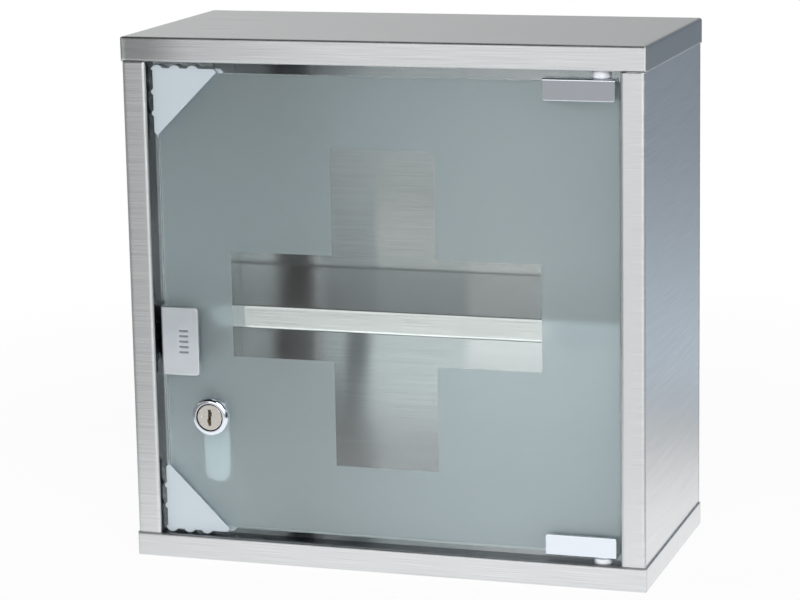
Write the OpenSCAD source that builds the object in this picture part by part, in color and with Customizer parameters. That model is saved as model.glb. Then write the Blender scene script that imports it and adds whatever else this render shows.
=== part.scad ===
// Lockable wall cabinet for medicines: folded steel body with one shelf, and an inset glass door
// on two corner pivots, held by a push-to-open magnet latch and a cam lock.
//
// Frame: the origin is the centre of the wall face. X runs to the right, Z up, and Y towards the
// wall, so the door faces -Y. Millimetres.

/* [Cabinet] */
// Outside width of the cabinet
cabinet_w = 300; // [260:1:400]
// Outside height of the cabinet
cabinet_h = 300; // [280:1:450]
// Outside depth, from the wall to the front face
cabinet_d = 140; // [120:1:220]
// Thickness of the steel sheet
sheet = 0.8; // [0.6:0.1:1]
// Height of the front band of the top and bottom panels
band_h = 14; // [13:0.5:18]
// Width of the front flange of the side panels
flange_w = 14.5; // [13:0.5:18]
// Depth of the return lip behind every front flange
lip_d = 12; // [12:0.5:12.5]
// Outer radius of a fold
bend_r = 1.6; // [1.2:0.1:2]
// Distance between the wall holes, side to side
wall_hole_dx = 230; // [120:1:240]
// Distance between the wall holes, top to bottom
wall_hole_dz = 210; // [120:1:230]
// Diameter of a wall hole
wall_hole_d = 6; // [4:0.5:8]

/* [Shelf] */
// Height of the shelf's top above the base
shelf_top = 146.6; // [120:0.1:170]
// Height of the shelf's front band
shelf_band_h = 13.5; // [10:0.5:16]
// Distance of the shelf's front band behind the front face
shelf_setback = 19; // [18:0.5:40]
// Width of each leg of a shelf bracket
bracket_leg = 12; // [8:0.5:12]

/* [Door] */
// Thickness of the glass
glass_t = 4; // [4:0.5:5]
// Distance of the glass behind the front face
glass_setback = 5.5; // [5:0.1:6]
// Gap between the left lip and the glass
gap_left = 4.3; // [4:0.1:6]
// Gap between the right lip and the glass
gap_right = 1.5; // [1.5:0.1:3]
// Gap between the bottom lip and the glass
gap_bottom = 4.6; // [4.6:0.1:6]
// Gap between the top lip and the glass
gap_top = 6.2; // [6.2:0.1:8]
// Bevel along the polished edges of the glass
glass_bevel = 0.5; // [0.2:0.1:0.8]

/* [Hinges] */
// Distance of the pivot from the right lip
pivot_inset = 11.5; // [11.5:0.1:14]
// Length of a hinge clamp
clamp_l = 40; // [30:1:60]
// Height of a hinge clamp
clamp_h = 12.2; // [10:0.1:16]
// Thickness of the clamp's steel
clamp_t = 1.5; // [1.2:0.1:1.5]
// Distance of the clamp's end from the pivot, on the flange side
clamp_end = 8.2; // [6:0.1:8.5]
// Thickness of the pad between clamp and glass
clamp_pad_t = 1; // [0.6:0.1:1]
// Diameter of a hinge pin
pin_d = 4; // [3:0.5:4]
// Diameter of the bush's flange
bush_flange_d = 10.4; // [9:0.1:11]
// Height of the bush's flange
bush_flange_h = 2.5; // [2:0.1:2.5]

/* [Push plate] */
// Width of the push plate
plate_w = 22.6; // [18:0.1:30]
// Height of the push plate
plate_h = 39.5; // [30:0.5:60]
// Height of the push plate's centre above the base
plate_z = 126.8; // [115:0.1:130]
// Thickness of the push plate's steel
plate_t = 1.2; // [1:0.1:1.4]
// Thickness of the liner between plate and glass
plate_pad_t = 0.6; // [0.4:0.1:0.8]

/* [Corner guards] */
// Length of each leg of a corner guard
guard_leg = 38; // [30:0.5:50]
// Wall of a corner guard on the faces of the glass
guard_face_t = 1.2; // [1:0.1:1.5]
// Wall of a corner guard over the side edge of the glass
guard_side_t = 1.6; // [1.2:0.1:1.8]
// Wall of a corner guard over the top or bottom edge of the glass
guard_end_t = 2.4; // [2:0.1:2.6]
// Height of the large buffer bumps
bump_h = 1.8; // [1.2:0.1:1.8]
// Width of the large buffer bumps
bump_w = 6.4; // [5:0.1:8]

/* [Lock] */
// Distance of the lock from the left edge of the glass
lock_inset = 27.5; // [25:0.1:30]
// Height of the lock above the base
lock_z = 84; // [75:0.1:90]
// Diameter of the lock's bezel
bezel_d = 22.2; // [19:0.1:24]
// Height of the bezel in front of its gasket
bezel_h = 4.6; // [3:0.1:5]
// Length of the cam from the lock's axis to its tip
cam_l = 40; // [34:0.5:42]
// Width of the cam
cam_w = 15.5; // [12:0.5:16]
// Thickness of the cam
cam_t = 1.8; // [1.5:0.1:2]

/* [Latch] */
// Distance of the latch's plunger from the left edge of the glass
latch_inset = 9.7; // [8:0.1:12]
// Distance of the latch's plunger below the middle of the push plate
latch_drop = 5.5; // [5:0.1:9]
// Travel of the latch's plunger
latch_travel = 8; // [4:0.5:8]
// Width and height of the latch's barrel
latch_size = 17; // [15:0.5:20]

/* [Hidden] */
$fn = 72;
over = 1;              // how far a cut runs past a face
seam = 0.2;            // gap that shows as a line between two panels
running = 0.05;        // radial clearance of a pin in its bore
axial = 0.3;           // end clearance of a moving part

half_w = cabinet_w / 2;
half_h = cabinet_h / 2;
y_front = -cabinet_d;
inner_r = bend_r - sheet;
corner_r = 0.8;        // welded corner of the top and bottom panels

// The door opening, between the lips
open_left = -half_w + flange_w;
open_right = half_w - flange_w;
open_bottom = -half_h + band_h;
open_top = half_h - band_h;

// The glass
glass_left = open_left + gap_left;
glass_right = open_right - gap_right;
glass_bottom = open_bottom + gap_bottom;
glass_top = open_top - gap_top;
y_glass_front = y_front + glass_setback;
y_glass_back = y_glass_front + glass_t;
y_glass = y_glass_front + glass_t / 2;
glass_corner_r = 1;

// Back panel and shelf
back_flange = 12;
shelf_z = -half_h + shelf_top;
y_shelf_front = y_front + shelf_setback;
y_shelf_back = -3;
shelf_gap = 0.5;       // each side of the shelf
shelf_hem = 8;
bracket_front = 28;    // bracket's distance behind the front face
bracket_back = 15;     // bracket's distance from the wall face

// Hinges
pivot_x = open_right - pivot_inset;
clamp_half = glass_t / 2 + clamp_pad_t + clamp_t;
clamp_right = pivot_x + clamp_end;
clamp_left = clamp_right - clamp_l;
clamp_web_z = open_bottom + bush_flange_h + axial;
clamp_corner_r = 1.5;
clamp_fold_r = 1.1;
clamp_edge_r = 0.4;
clamp_web_r = 0.3;
bush_edge = 0.5;       // bevel
pin_tip = 0.5;         // bevel
pad_inset = 0.5;       // pad's ends inside the clamp's ends
pad_low = 0.6;         // pad's edge below the clamp's edge
pin_r = pin_d / 2;
pin_foot = 5;          // length of the pin below the lip's top
bush_r = 3.2;
bush_foot = 5.8;       // length of the bush below the lip's top
grub_r = 1.5;
grub_l = 1.9;
grub_hex_r = 0.9;
grub_hex_d = 0.8;
grub_x = [clamp_left + 8, clamp_right - 12];
grub_z = clamp_web_z + 7.5;
// The top clamp is lifted by the play that lets the door be hung
top_lift = (open_top - glass_top) - (glass_bottom - open_bottom);

// Push plate
plate_play = 0.4;      // between the glass's edge and the plate's web
plate_left = glass_left - plate_t - plate_play;
plate_mid_z = -half_h + plate_z;
plate_back_w = 19.6;   // width of the leg behind the glass
plate_corner_r = 2.5;
plate_edge_r = 0.5;
plate_fold_r = 1;
plate_web_r = 0.4;
liner_inset = 0.4;     // liner inside the plate's edges
groove_at = 0.6;       // middle of the grooves, as a share of the plate's width
groove_n = 5;
groove_pitch = 3.1;
groove_w = 5.6;
groove_d = 0.25;
groove_h = 1.1;

// Corner guards
guard_back_grow = 3;   // how much the rear face is larger than the front face
guard_tip = 1.8;       // blunt end of each leg
bump_at = [2.6, 13.2, 23.8];
nib_at = [13.4, 25.5];
nib_h = 1.2;
nib_w = 3.2;

// Lock
lock_x = glass_left + lock_inset;
lock_mid_z = -half_h + lock_z;
gasket_t = 0.5;
gasket_inset = 0.3;
lock_hole_play = 0.25; // barrel in the hole of the glass
bezel_round = 2.4;
barrel_r = 8;
barrel_back = 7.2;     // rear end of the barrel behind the glass front
nut_t = 2.4;
nut_r = 11;
face_r = 7.75;         // front disc of the plug
face_t = 2.2;
face_sink = 0.3;
face_gap = 0.15;       // behind the plug's front disc
face_bevel = 0.5;
plug_r = 5.5;
plug_back = 7.3;       // rear end of the plug's round part behind the glass front
stub = 7;              // square that carries the cam
cam_back = 7.5;        // front of the cam behind the glass front
washer_t = 0.6;
washer_r = 6;
cam_screw_r = 1.6;
cam_screw_head_r = 3;
cam_screw_head_h = 1.6;
cam_screw_l = 3;
wafer_n = 4;
wafer_t = 0.5;
wafer_pitch = 1.3;
wafer_first = 2;       // first wafer behind the glass front
wafer_size = [6, 8.4];
wafer_play = 0.1;
window_size = [3.2, 5.2];
window_low = 1;        // lowest window above the wafer's foot
window_rise = 0.3;     // from one window to the next

// Keyway and the small dimple beside it
slot_w = 1.7;
slot_h = 9.4;
slot_step = 0.5;       // sideways, of the two wards
ward_h = 2.4;
ward_in = 1.5;         // ward's distance from the slot's end
slot_depth = 9.5;
dimple_at = [-4.2, 0.6];
dimple_r = 0.9;
dimple_d = 0.5;

// Latch
latch_x = glass_left + latch_inset;
latch_z = plate_mid_z - latch_drop;
y_strike = y_glass_back + plate_pad_t + plate_t;
y_latch_tip = y_strike + axial;
y_latch_front = y_front + 16;
latch_len = 38;
plunger_r = 4.5;
collar_r = 5.5;
collar_t = 2;
plunger_l = 28.4;
magnet_r = 3.5;
magnet_t = 2;
latch_back_wall = 2;
y_plunger_back = y_latch_tip + plunger_l;
y_bore_back = y_latch_front + latch_len - latch_back_wall;
bore_play = 0.2;       // between the collar and its stop
latch_corner_r = 2;
latch_base_t = 2.8;
latch_base_l = 30;
latch_base_h = 30;
latch_base_r = 3;
latch_base_in = 4;     // base's rear end before the barrel's
latch_base_drop = 4;   // base's middle below the plunger
latch_base_z = latch_z - latch_base_drop;
latch_base_y = y_latch_front + latch_len - latch_base_l / 2 - latch_base_in;
latch_arm_h = 8;
// Length of the wide bore, from the rear wall to the stop that holds the collar
bore_l = y_bore_back - (y_plunger_back - collar_t - latch_travel - bore_play);
spring_r = 4.2;
spring_t = 0.8;
latch_screw_r = 1.45;
latch_screw_dz = 20;
screw_head_r = 2.8;
screw_head_h = 1.6;

// Cross recess of a screw head
cross_w = 3.2;
cross_t = 0.7;
cross_d = 0.9;

// ---- helpers -------------------------------------------------------------------------------

// What is cut off a square corner at the origin to round it
module corner_waste(r) {
    difference() {
        translate([-over, -over]) square(r + over);
        translate([r, r]) circle(r);
    }
}

// Rectangle from low corner a to high corner b. The radii go round from the low corner:
// low-low, high-low, high-high, low-high.
module round_rect(a, b, radii = [0, 0, 0, 0]) {
    corners = [[a[0], a[1], 0], [b[0], a[1], 90], [b[0], b[1], 180], [a[0], b[1], 270]];
    difference() {
        translate(a) square(b - a);
        for (i = [0:3])
            if (radii[i] > 0)
                translate([corners[i][0], corners[i][1]]) rotate(corners[i][2]) corner_waste(radii[i]);
    }
}

// Extrusions of a drawing in the XZ, YZ or XY plane
module along_y(y0, y1) translate([0, y1, 0]) rotate([90, 0, 0]) linear_extrude(y1 - y0) children();
module along_x(x0, x1) translate([x0, 0, 0]) rotate([90, 0, 90]) linear_extrude(x1 - x0) children();
module along_z(z0, z1) translate([0, 0, z0]) linear_extrude(z1 - z0) children();

// A round bar or bore of radius r along Y
module bar_y(r, y0, y1) translate([0, y1, 0]) rotate([90, 0, 0]) cylinder(r = r, h = y1 - y0);

module block(a, b) translate(a) cube(b - a);

module upside_down() mirror([0, 0, 1]) children();

// ---- cabinet -------------------------------------------------------------------------------

// Shallow tray with a front band and side flanges, and a lip folded back from the band.
// It is drawn as the bottom panel.
module end_tray() {
    z0 = -half_h;
    z1 = open_bottom;
    r = bend_r;
    difference() {
        intersection() {
            along_y(y_front, 0) round_rect([-half_w, z0], [half_w, z1], [r, r, 0, 0]);
            along_x(-half_w, half_w) round_rect([y_front, z0], [0, z1], [r, 0, 0, r]);
            along_z(z0, z1) round_rect([-half_w, y_front], [half_w, 0], [corner_r, corner_r, 0, 0]);
        }
        // hollow inside the folds
        intersection() {
            along_y(y_front + sheet, over)
                round_rect([-half_w + sheet, z0 + sheet], [half_w - sheet, z1 - sheet],
                    [inner_r, inner_r, 0, 0]);
            along_x(-half_w + sheet, half_w - sheet)
                round_rect([y_front + sheet, z0 + sheet], [over, z1 - sheet], [inner_r, 0, 0, inner_r]);
        }
        // open towards the cabinet behind the lip
        block([-half_w + sheet, y_front + lip_d, z1 - 2 * sheet], [half_w - sheet, over, z1 + over]);
        // room for the side panels beside the lip
        for (side = [-1, 1])
            translate([side * (half_w - 1.5 * sheet - seam / 2), 0, 0])
                block([-sheet / 2 - seam / 2, y_front + sheet, z1 - 2 * sheet],
                    [sheet / 2 + seam / 2, y_front + lip_d + over, z1 + over]);
        // hole for the hinge bush
        translate([pivot_x, y_glass, z1 - 2 * sheet]) cylinder(r = bush_r + running, h = 2 * sheet + over);
    }
}

module top_panel() color("#c9cccd") upside_down() end_tray();

module bottom_panel() color("#c9cccd") end_tray();

// Side panel with a front flange and lip, and a rear flange against the back panel.
// It is drawn as the right panel.
module side_sheet() {
    x0 = open_right;
    x1 = half_w - sheet;
    along_z(open_bottom + seam, open_top - seam)
        difference() {
            round_rect([x0, y_front], [x1, -sheet], [bend_r, bend_r, bend_r, 0]);
            round_rect([x0 + sheet, y_front + sheet], [x1 - sheet, -2 * sheet],
                [inner_r, inner_r, inner_r, 0]);
            round_rect([x0 - over, y_front + lip_d], [x0 + 2 * sheet, -2 * sheet]);
        }
    // tongue that runs up and down inside the top and bottom panels
    block([x1 - sheet, y_front + sheet + seam, -half_h + bend_r], [x1, -2 * sheet, half_h - bend_r]);
}

module left_side_panel() color("#c4c7c9")
    difference() {
        mirror([1, 0, 0]) side_sheet();
        for (side = [-1, 1])
            translate([-half_w, latch_base_y, latch_base_z + side * latch_screw_dz / 2])
                rotate([0, 90, 0]) cylinder(r = latch_screw_r + running, h = 3 * sheet);
    }

module right_side_panel() color("#c4c7c9") side_sheet();

module back_panel() color("#b9bcbe")
    difference() {
        intersection() {
            along_x(-half_w + sheet, half_w - sheet)
                difference() {
                    round_rect([-back_flange, -half_h + sheet], [0, half_h - sheet], [0, bend_r, bend_r, 0]);
                    round_rect([-back_flange - over, -half_h + 2 * sheet], [-sheet, half_h - 2 * sheet],
                        [0, inner_r, inner_r, 0]);
                }
            along_y(-back_flange, 0)
                round_rect([-half_w + sheet, -half_h + sheet], [half_w - sheet, half_h - sheet],
                    [bend_r, bend_r, bend_r, bend_r]);
        }
        // the flanges stop short of the side panels
        for (side = [-1, 1])
            translate([side * (half_w - sheet), 0, 0])
                block([-sheet - seam, -back_flange - over, -half_h], [sheet + seam, -sheet, half_h]);
        for (x = [-1, 1], z = [-1, 1])
            translate([x * wall_hole_dx / 2, 0, z * wall_hole_dz / 2])
                bar_y(wall_hole_d / 2, -sheet - over, over);
    }

module shelf() color("#ced2d3")
    along_x(-half_w + 2 * sheet + shelf_gap, half_w - 2 * sheet - shelf_gap)
        difference() {
            round_rect([y_shelf_front, shelf_z - shelf_band_h], [y_shelf_back, shelf_z],
                [bend_r, 0, bend_r, bend_r]);
            round_rect([y_shelf_front + sheet, shelf_z - shelf_band_h + sheet],
                [y_shelf_back - sheet, shelf_z - sheet], [inner_r, 0, inner_r, inner_r]);
            // open below, behind the hem
            round_rect([y_shelf_front + shelf_hem, shelf_z - shelf_band_h - over],
                [y_shelf_back - sheet, shelf_z - shelf_band_h + 2 * sheet]);
        }

// Angle under the end of the shelf, drawn at the right side
module shelf_bracket() {
    x1 = half_w - 2 * sheet;
    z1 = shelf_z - sheet;
    along_y(y_front + bracket_front, -bracket_back)
        difference() {
            round_rect([x1 - bracket_leg, z1 - bracket_leg], [x1, z1], [0, 0, bend_r, 0]);
            round_rect([x1 - bracket_leg - over, z1 - bracket_leg - over], [x1 - sheet, z1 - sheet],
                [0, 0, inner_r, 0]);
        }
}

module left_shelf_bracket() color("#b4b7b9") mirror([1, 0, 0]) shelf_bracket();

module right_shelf_bracket() color("#b4b7b9") shelf_bracket();

// ---- hinges --------------------------------------------------------------------------------

// Flanged nylon bush in the lip of the bottom panel
module hinge_bush(flange_h = bush_flange_h) {
    edge = bush_edge;
    translate([pivot_x, y_glass, open_bottom])
        difference() {
            union() {
                cylinder(d = bush_flange_d, h = flange_h - edge);
                translate([0, 0, flange_h - edge])
                    cylinder(r1 = bush_flange_d / 2, r2 = bush_flange_d / 2 - edge, h = edge);
                translate([0, 0, -bush_foot]) cylinder(r = bush_r, h = bush_foot);
            }
            translate([0, 0, -bush_foot - over])
                cylinder(r = pin_r + running, h = bush_foot + flange_h + 2 * over);
        }
}

// Its flange is higher, to fill the wider gap above the door
module top_hinge_bush() color("#e6eaee") upside_down() hinge_bush(bush_flange_h + top_lift);

module bottom_hinge_bush() color("#e6eaee") hinge_bush();

// Channel that grips the lower edge of the glass, with the pin's hole in its web
module hinge_clamp() {
    z0 = clamp_web_z;
    z1 = clamp_web_z + clamp_h;
    y0 = y_glass - clamp_half;
    y1 = y_glass + clamp_half;
    difference() {
        intersection() {
            along_x(clamp_left, clamp_right)
                difference() {
                    round_rect([y0, z0], [y1, z1],
                        [clamp_fold_r, clamp_fold_r, clamp_edge_r, clamp_edge_r]);
                    round_rect([y0 + clamp_t, z0 + clamp_t], [y1 - clamp_t, z1 + over]);
                }
            along_y(y0, y1)
                round_rect([clamp_left, z0], [clamp_right, z1],
                    [clamp_web_r, clamp_web_r, clamp_corner_r, clamp_corner_r]);
        }
        translate([pivot_x, y_glass, z0 - over]) cylinder(r = pin_r, h = clamp_t + 2 * over);
        for (x = grub_x)
            translate([x, 0, grub_z]) bar_y(grub_r + running, y1 - clamp_t - seam, y1 + over);
    }
}

module top_hinge_clamp() color("#d5dae0") translate([0, 0, -top_lift]) upside_down() hinge_clamp();

module bottom_hinge_clamp() color("#d5dae0") hinge_clamp();

module hinge_pin() {
    z0 = open_bottom - pin_foot;
    translate([pivot_x, y_glass, z0]) {
        cylinder(r1 = pin_r - pin_tip, r2 = pin_r, h = pin_tip);
        translate([0, 0, pin_tip]) cylinder(r = pin_r, h = clamp_web_z + clamp_t - z0 - pin_tip);
    }
}

module top_hinge_pin() color("#b8bcc0") translate([0, 0, -top_lift]) upside_down() hinge_pin();

module bottom_hinge_pin() color("#b8bcc0") hinge_pin();

// Liner inside a clamp: one cheek on each face of the glass, joined under its edge
module hinge_pad() {
    z0 = clamp_web_z + clamp_t;
    y0 = y_glass - glass_t / 2 - clamp_pad_t;
    y1 = y_glass + glass_t / 2 + clamp_pad_t;
    along_x(clamp_left + pad_inset, clamp_right - pad_inset)
        difference() {
            round_rect([y0, z0], [y1, z0 + clamp_h - clamp_t - pad_low]);
            round_rect([y_glass_front, glass_bottom], [y_glass_back, z0 + clamp_h]);
        }
}

module top_hinge_pad() color("#8f979b") translate([0, 0, -top_lift]) upside_down() hinge_pad();

module bottom_hinge_pad() color("#8f979b") hinge_pad();

// Hexagon socket screws that press the rear pads against the glass
module grub_pair() {
    y1 = y_glass + clamp_half;
    for (x = grub_x)
        translate([x, 0, grub_z])
            difference() {
                bar_y(grub_r, y1 - clamp_t, y1 - clamp_t + grub_l);
                translate([0, y1 - clamp_t + grub_l + over, 0])
                    rotate([90, 0, 0]) cylinder(r = grub_hex_r, h = grub_hex_d + over, $fn = 6);
            }
}

module hinge_grub_screws() color("#6f757a") {
    grub_pair();
    translate([0, 0, -top_lift]) upside_down() grub_pair();
}

// ---- door ----------------------------------------------------------------------------------

module door_glass() {
    c = glass_corner_r;
    b = glass_bevel;
    color("#a3b4b6", 0.6)
        difference() {
            intersection() {
                along_y(y_glass_front, y_glass_back)
                    round_rect([glass_left, glass_bottom], [glass_right, glass_top], [c, c, c, c]);
                along_x(glass_left, glass_right)
                    bevel_rect([y_glass_front, glass_bottom], [y_glass_back, glass_top], b);
                along_z(glass_bottom, glass_top)
                    bevel_rect([glass_left, y_glass_front], [glass_right, y_glass_back], b);
            }
            translate([lock_x, 0, lock_mid_z])
                bar_y(barrel_r + lock_hole_play, y_glass_front - over, y_glass_back + over);
        }
}

// Rectangle from a to b with all four corners cut at 45 degrees
module bevel_rect(a, b, c)
    polygon([
        [a[0] + c, a[1]], [b[0] - c, a[1]], [b[0], a[1] + c], [b[0], b[1] - c],
        [b[0] - c, b[1]], [a[0] + c, b[1]], [a[0], b[1] - c], [a[0], a[1] + c]
    ]);

// Steel clip over the free edge of the glass: what the hand pushes and the magnet holds
module push_plate() {
    x0 = plate_left;
    x1 = plate_left + plate_w;
    y0 = y_glass_front - plate_pad_t - plate_t;
    y1 = y_strike;
    z0 = plate_mid_z - plate_h / 2;
    z1 = plate_mid_z + plate_h / 2;
    e = plate_edge_r;
    color("#b9c0c8")
        difference() {
            intersection() {
                along_z(z0, z1)
                    difference() {
                        round_rect([x0, y0], [x1, y1], [plate_fold_r, e, 0, plate_fold_r]);
                        round_rect([x0 + plate_t, y0 + plate_t], [x1 + over, y1 - plate_t]);
                        round_rect([x0 + plate_back_w, y1 - 2 * plate_t], [x1 + over, y1 + over]);
                    }
                along_y(y0, y1)
                    round_rect([x0, z0], [x1, z1],
                        [plate_web_r, plate_corner_r, plate_corner_r, plate_web_r]);
                along_x(x0, x1) round_rect([y0, z0], [y1, z1], [e, e, e, e]);
            }
            for (i = [0:groove_n - 1])
                translate([
                    x0 + groove_at * plate_w - groove_w / 2,
                    y0 - over,
                    plate_mid_z + (i - (groove_n - 1) / 2) * groove_pitch - groove_h / 2
                ])
                    cube([groove_w, over + groove_d, groove_h]);
        }
}

module push_plate_liner() color("#2b2e31")
    along_z(plate_mid_z - plate_h / 2 + liner_inset, plate_mid_z + plate_h / 2 - liner_inset)
        difference() {
            round_rect([plate_left + plate_t, y_glass_front - plate_pad_t],
                [plate_left + plate_back_w - liner_inset, y_glass_back + plate_pad_t]);
            round_rect([glass_left, y_glass_front], [glass_left + plate_w, y_glass_back]);
        }

// Outline of a corner guard in the XZ plane, its outer corner at the origin
module guard_outline(leg) {
    polygon([[0, 0], [leg - guard_tip, 0], [leg, guard_tip], [guard_tip, leg], [0, leg - guard_tip]]);
}

// Buffer bumps along the two outer edges
module guard_bumps() {
    bump_r = (bump_w * bump_w / 4 + bump_h * bump_h) / (2 * bump_h);
    nib_r = (nib_w * nib_w / 4 + nib_h * nib_h) / (2 * nib_h);
    intersection() {
        for (x = bump_at) translate([x, bump_r - bump_h]) circle(bump_r);
        translate([-nib_h, -bump_h]) square([guard_leg, bump_h + 1]);
    }
    intersection() {
        for (z = nib_at) translate([nib_r - nib_h, z]) circle(nib_r);
        translate([-nib_h, 0]) square([nib_h + 1, guard_leg]);
    }
}

// Plastic pocket over the lower left corner of the glass
module corner_guard() {
    x0 = glass_left - guard_side_t;
    z0 = glass_bottom - guard_end_t;
    difference() {
        union() {
            along_y(y_glass_front - guard_face_t, y_glass_back + guard_face_t)
                translate([x0, z0]) guard_outline(guard_leg);
            along_y(y_glass, y_glass_back + guard_face_t)
                translate([x0, z0]) guard_outline(guard_leg + guard_back_grow);
            along_y(y_glass_front - guard_face_t, y_glass_back + guard_face_t)
                translate([x0, z0]) guard_bumps();
        }
        block([glass_left, y_glass_front, glass_bottom],
            [glass_left + 2 * guard_leg, y_glass_back, glass_bottom + 2 * guard_leg]);
    }
}

module bottom_corner_guard() color("#ccd6df") corner_guard();

module top_corner_guard() color("#b9c7d0")
    translate([0, 0, glass_top + glass_bottom]) upside_down() corner_guard();

// ---- lock ----------------------------------------------------------------------------------

// Places a shape that is drawn about the Z axis, front end up, on the lock's axis.
// Its zero height is the front of the glass.
module on_lock() translate([lock_x, y_glass_front, lock_mid_z]) rotate([90, 0, 0]) children();

// Chrome bezel and threaded barrel
module lock_housing() {
    rim = bezel_d / 2;
    h = gasket_t + bezel_h;
    face_floor = h - face_sink - face_t - face_gap;
    color("#dfe2e5")
        on_lock()
            difference() {
                rotate_extrude()
                    difference() {
                        union() {
                            round_rect([0, gasket_t], [rim, h], [0, 0, bezel_round, 0]);
                            translate([0, -barrel_back]) square([barrel_r, barrel_back + h]);
                        }
                        translate([-over, face_floor]) square([face_r + running + over, h]);
                    }
                translate([0, 0, -barrel_back - over])
                    cylinder(r = plug_r + running, h = barrel_back + 2 * over + h);
            }
}

module lock_gasket() color("#3a3d40")
    on_lock()
        difference() {
            cylinder(r = bezel_d / 2 - gasket_inset, h = gasket_t);
            translate([0, 0, -over]) cylinder(r = barrel_r + 2 * running, h = gasket_t + 2 * over);
        }

module lock_nut() color("#b0b3b6")
    on_lock()
        translate([0, 0, -glass_t - nut_t])
            difference() {
                cylinder(r = nut_r, h = nut_t, $fn = 6);
                translate([0, 0, -over]) cylinder(r = barrel_r + running, h = nut_t + 2 * over);
            }

// Keyway: an upright slot whose middle is stepped to one side
module keyway()
    union() {
        square([slot_w, slot_h], center = true);
        for (side = [-1, 1])
            translate([side * slot_step, side * (slot_h - ward_h) / 2 - side * ward_in])
                square([slot_w, ward_h], center = true);
    }

// Plug that the key turns, with a square stub for the cam
module lock_plug() {
    h = gasket_t + bezel_h - face_sink;
    color("#c3bfb8")
        on_lock()
            difference() {
                union() {
                    translate([0, 0, h - face_t]) cylinder(r = face_r, h = face_t - face_bevel);
                    translate([0, 0, h - face_bevel])
                        cylinder(r1 = face_r, r2 = face_r - face_bevel, h = face_bevel);
                    translate([0, 0, -plug_back]) cylinder(r = plug_r, h = plug_back + h - face_t);
                    translate([-stub / 2, -stub / 2, -cam_back - cam_t])
                        cube([stub, stub, cam_t + cam_back - plug_back + over]);
                }
                translate([0, 0, h - slot_depth]) linear_extrude(slot_depth + over) keyway();
                translate([dimple_at[0], dimple_at[1], h - dimple_d])
                    cylinder(r = dimple_r, h = dimple_d + over);
                for (i = [0:wafer_n - 1])
                    translate([0, 0, -wafer_first - i * wafer_pitch - wafer_t - wafer_play])
                        linear_extrude(wafer_t + 2 * wafer_play)
                            square(wafer_size + 2 * [wafer_play, wafer_play], center = true);
                translate([0, 0, -cam_back - cam_t - over])
                    cylinder(r = cam_screw_r + running, h = cam_screw_l + over);
            }
}

// Thin brass plates in the plug, each with a window for the key
module lock_wafers() color("#c9a651")
    on_lock()
        for (i = [0:wafer_n - 1])
            translate([0, 0, -wafer_first - i * wafer_pitch - wafer_t])
                linear_extrude(wafer_t)
                    difference() {
                        square(wafer_size, center = true);
                        translate([
                            -window_size[0] / 2,
                            -wafer_size[1] / 2 + window_low + window_rise * i
                        ])
                            square(window_size);
                    }

// Cam at rest hangs down and swings behind the left lip
module lock_cam() {
    tip = cam_w / 2;
    color("#c4c7ca")
        on_lock()
            translate([0, 0, -cam_back - cam_t])
                linear_extrude(cam_t)
                    difference() {
                        union() {
                            circle(tip);
                            translate([-tip, -cam_l + tip]) square([cam_w, cam_l - tip]);
                            translate([0, -cam_l + tip]) circle(tip);
                        }
                        square(stub + 2 * running, center = true);
                    }
}

module cam_washer() color("#9da1a5")
    on_lock()
        translate([0, 0, -cam_back - cam_t - washer_t])
            difference() {
                cylinder(r = washer_r, h = washer_t);
                translate([0, 0, -over]) cylinder(r = cam_screw_r + running, h = washer_t + 2 * over);
            }

module cam_screw() color("#a7abaf")
    on_lock()
        translate([0, 0, -cam_back - cam_t - washer_t])
            difference() {
                union() {
                    translate([0, 0, -cam_screw_head_h]) cylinder(r = cam_screw_head_r, h = cam_screw_head_h);
                    cylinder(r = cam_screw_r, h = cam_screw_l);
                }
                for (turn = [0, 90])
                    rotate(turn)
                        translate([-cross_w / 2, -cross_t / 2, -cam_screw_head_h - over])
                            cube([cross_w, cross_t, cross_d + over]);
            }

// ---- latch ---------------------------------------------------------------------------------

// Places a shape that is drawn about the Z axis, front end up, on the plunger's axis.
// Its zero height is the front of the latch's barrel.
module on_latch() translate([latch_x, y_latch_front, latch_z]) rotate([90, 0, 0]) children();

// Barrel on an arm from the left side panel
module latch_housing() {
    wall_x = -half_w + 2 * sheet;
    s = latch_size / 2;
    c = latch_corner_r;
    b = latch_base_r;
    color("#55595d")
        difference() {
            union() {
                along_y(y_latch_front, y_latch_front + latch_len)
                    round_rect([latch_x - s, latch_z - s], [latch_x + s, latch_z + s], [c, c, c, c]);
                block([wall_x, latch_base_y - latch_base_l / 2, latch_base_z - latch_arm_h / 2],
                    [latch_x - s + over, latch_base_y + latch_base_l / 2, latch_base_z + latch_arm_h / 2]);
                along_x(wall_x, wall_x + latch_base_t)
                    round_rect([latch_base_y - latch_base_l / 2, latch_base_z - latch_base_h / 2],
                        [latch_base_y + latch_base_l / 2, latch_base_z + latch_base_h / 2], [b, b, b, b]);
            }
            on_latch() {
                translate([0, 0, -latch_len]) cylinder(r = plunger_r + running, h = latch_len + over);
                translate([0, 0, -latch_len + latch_back_wall])
                    cylinder(r = collar_r + running, h = bore_l);
            }
            for (side = [-1, 1])
                translate([wall_x - over, latch_base_y, latch_base_z + side * latch_screw_dz / 2])
                    rotate([0, 90, 0]) cylinder(r = latch_screw_r + running, h = latch_base_t + 2 * over);
        }
}

module latch_screws() color("#9da1a5")
    for (side = [-1, 1])
        translate([-half_w + sheet, latch_base_y, latch_base_z + side * latch_screw_dz / 2])
            rotate([0, 90, 0])
                difference() {
                    union() {
                        cylinder(r = latch_screw_r, h = sheet + latch_base_t);
                        translate([0, 0, sheet + latch_base_t])
                            cylinder(r = screw_head_r, h = screw_head_h);
                    }
                    for (turn = [0, 90])
                        rotate(turn)
                            translate([-cross_w / 2, -cross_t / 2,
                                sheet + latch_base_t + screw_head_h - cross_d])
                                cube([cross_w, cross_t, cross_d + over]);
                }

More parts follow.
